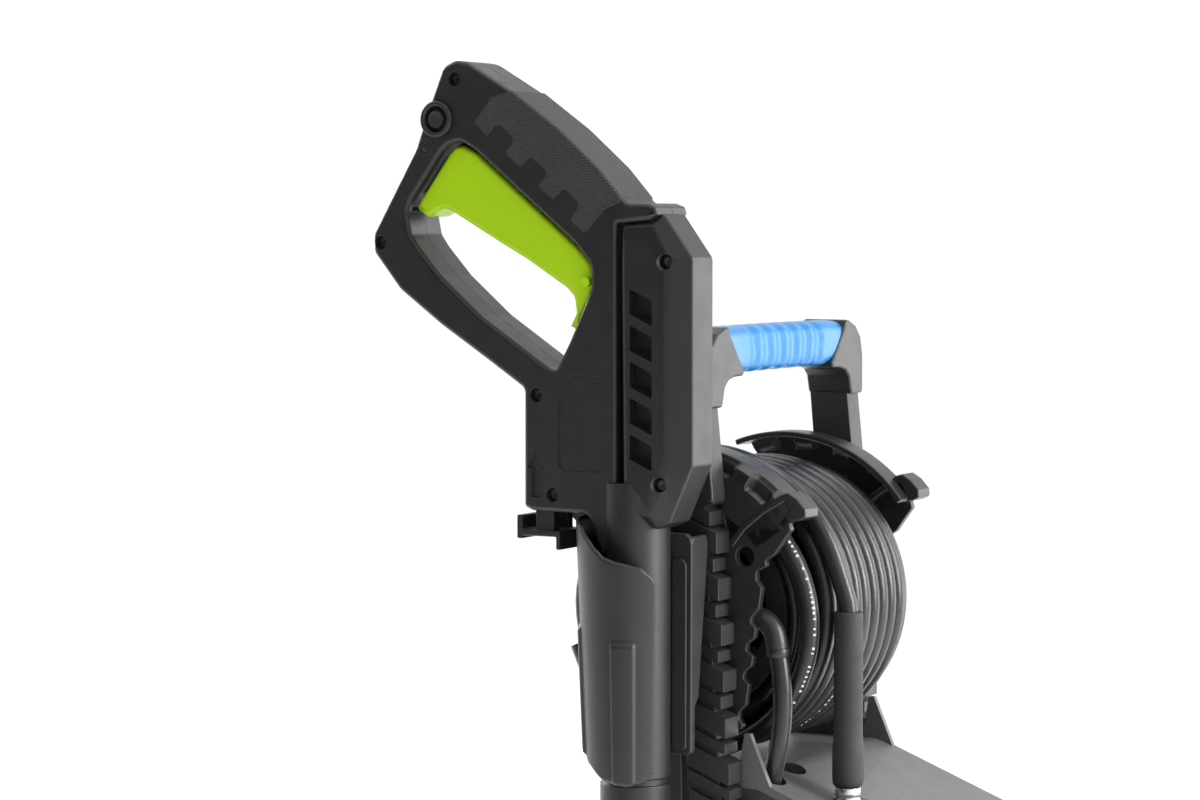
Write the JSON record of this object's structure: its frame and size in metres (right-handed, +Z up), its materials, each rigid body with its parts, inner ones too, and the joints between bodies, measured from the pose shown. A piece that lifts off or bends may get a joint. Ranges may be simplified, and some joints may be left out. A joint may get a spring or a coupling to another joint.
{
  "type": "pressure washer",
  "caption": "Upright electric pressure washer with hose reel, top carrying handle and a spray gun parked in a side holster.",
  "frame": {"origin": "centre of the machine's plan outline on the floor", "axes": "+Z up through the handle; the front cover and switch face -Y; the gun and holster are on the -X side"},
  "size_m": [0.3642, 0.436, 0.963],
  "materials": {
    "black_plastic": "fine textured black moulding",
    "dark_grey_plastic": "satin dark grey moulding",
    "blue_plastic": "smooth blue grip plastic",
    "lime_plastic": "satin lime plastic",
    "soft_black": "diamond textured soft overmould",
    "hose_rubber": "smooth black hose",
    "foot_rubber": "matte",
    "tyre_rubber": "matte with grooves",
    "brass": "machined",
    "steel": "brushed",
    "aluminium": "cast",
    "motor_paint": "satin",
    "pale_plastic": "plain",
    "wheel_plastic": "satin moulding"
  },
  "bodies": {
    "machine": {"side_frame_right": "black_plastic", "side_frame_left": "black_plastic", "reel_guard_right": "black_plastic", "reel_guard_left": "black_plastic", "handle_bar": "black_plastic", "handle_grip": "blue_plastic", "frame_screws": "steel", "front_cover": "black_plastic", "rear_cover": "black_plastic", "top_deck": "black_plastic", "base_tray": "black_plastic", "rubber_feet": "foot_rubber", "axle": "steel", "holster": "dark_grey_plastic", "holster_plate": "black_plastic", "lance_clip": "black_plastic", "motor_can": "motor_paint", "pump_head": "aluminium", "unloader": "brass", "capacitor": "pale_plastic", "inlet_connector": "brass", "inlet_filter": "pale_plastic", "outlet_connector": "brass", "cable_gland": "black_plastic", "cord_hook_upper": "black_plastic", "hose_link": "hose_rubber", "hose_tail": "hose_rubber", "hose_sleeve": "hose_rubber", "hose_coupling": "steel", "reel_swivel": "brass"},
    "wheel_near": {"wheel_right": "wheel_plastic", "tyre_right": "tyre_rubber", "hubcap_right": "blue_plastic"},
    "wheel_far": {"wheel_left": "wheel_plastic", "tyre_left": "tyre_rubber", "hubcap_left": "blue_plastic"},
    "rotor": {"rotor_shaft": "steel", "cooling_fan": "pale_plastic"},
    "reel": {"reel_drum": "black_plastic", "hose_coil": "hose_rubber", "crank_arm": "black_plastic"},
    "crank_grip": {"crank_knob": "blue_plastic"},
    "cable_hook": {"cord_hook_lower": "black_plastic"},
    "power_switch": {"switch_knob": "blue_plastic"},
    "gun": {"gun_shell_right": "black_plastic", "gun_shell_left": "black_plastic", "barrel_cover": "black_plastic", "soft_grip": "soft_black", "gun_screws": "steel", "barrel_tube": "black_plastic", "valve_body": "brass", "trigger_pin": "steel", "trigger_spring": "steel"},
    "gun_trigger": {"trigger": "lime_plastic"},
    "safety_button": {"lock_button": "black_plastic"},
    "release_clip": {"hose_clip": "black_plastic"},
    "lance": {"lance_collar": "black_plastic", "lance_tube": "steel"},
    "nozzle": {"nozzle_head": "black_plastic"}
  },
  "joints": [
    {"name": "wheel_near_spin", "type": "hinge", "parent": "machine", "child": "wheel_near", "pos_m": [-0.1, 0.093, 0.095], "axis": [1, 0, 0], "continuous": true},
    {"name": "wheel_far_spin", "type": "hinge", "parent": "machine", "child": "wheel_far", "pos_m": [0.1, 0.093, 0.095], "axis": [1, 0, 0], "continuous": true},
    {"name": "motor_spin", "type": "hinge", "parent": "machine", "child": "rotor", "pos_m": [0, -0.124, 0.3], "axis": [0, 0, 1], "continuous": true},
    {"name": "reel_spin", "type": "hinge", "parent": "machine", "child": "reel", "pos_m": [0, 0.038, 0.611], "axis": [1, 0, 0], "continuous": true},
    {"name": "crank_grip_spin", "type": "hinge", "parent": "reel", "child": "crank_grip", "pos_m": [0.15, 0.038, 0.545], "axis": [1, 0, 0], "continuous": true},
    {"name": "cable_hook_turn", "type": "hinge", "parent": "machine", "child": "cable_hook", "pos_m": [0, 0.058, 0.25], "axis": [0, 1, 0], "range_deg": [0, 180]},
    {"name": "switch_turn", "type": "hinge", "parent": "machine", "child": "power_switch", "pos_m": [0, -0.202, 0.352], "axis": [0, -1, 0], "range_deg": [0, 90]},
    {"name": "gun_lift_off", "type": "slide", "parent": "machine", "child": "gun", "axis": [0, 0, 1], "range_m": [0, 0.5]},
    {"name": "trigger_pull", "type": "hinge", "parent": "gun", "child": "gun_trigger", "pos_m": [-0.15, 0.061, 0.824], "axis": [1, 0, 0], "range_deg": [0, 7], "stiffness_Nm_per_rad": 3, "springref_deg": -5.73, "deforming": ["trigger_spring"]},
    {"name": "safety_push", "type": "slide", "parent": "gun", "child": "safety_button", "axis": [1, 0, 0], "range_m": [0, 0.003]},
    {"name": "clip_push", "type": "slide", "parent": "gun", "child": "release_clip", "axis": [0, 0, 1], "range_m": [0, 0.005], "stiffness_N_per_m": 300, "springref_m": -0.002},
    {"name": "lance_twist", "type": "hinge", "parent": "gun", "child": "lance", "pos_m": [-0.15, 0.0346, 0.49], "axis": [0, 0, 1], "range_deg": [0, 60]},
    {"name": "nozzle_twist", "type": "hinge", "parent": "lance", "child": "nozzle", "pos_m": [-0.15, 0.0346, 0.235], "axis": [0, 0, 1], "range_deg": [0, 120]}
  ]
}
